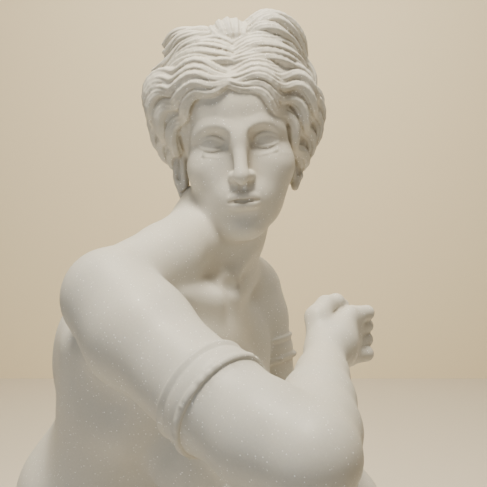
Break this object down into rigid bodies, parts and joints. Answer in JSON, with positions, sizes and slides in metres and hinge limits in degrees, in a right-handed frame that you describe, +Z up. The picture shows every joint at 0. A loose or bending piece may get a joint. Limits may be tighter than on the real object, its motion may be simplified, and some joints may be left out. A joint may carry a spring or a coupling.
{
  "type": "aphrodite statue",
  "caption": "Crouching nude female figure in white marble, head turned to look over her right shoulder, wavy hair tied in a bow knot, armlets, on a low rounded base",
  "frame": {"origin": "centre of the flat underside of the base", "axes": "+Z up, the face looks towards -Y, the chest is turned towards +X"},
  "size_m": [0.6197, 0.642, 1.062],
  "materials": {
    "marble": "coarse-grained white marble, rubbed smooth, with small bright crystals"
  },
  "bodies": {
    "root": {"aphrodite_statue": "marble"}
  },
  "joints": []
}
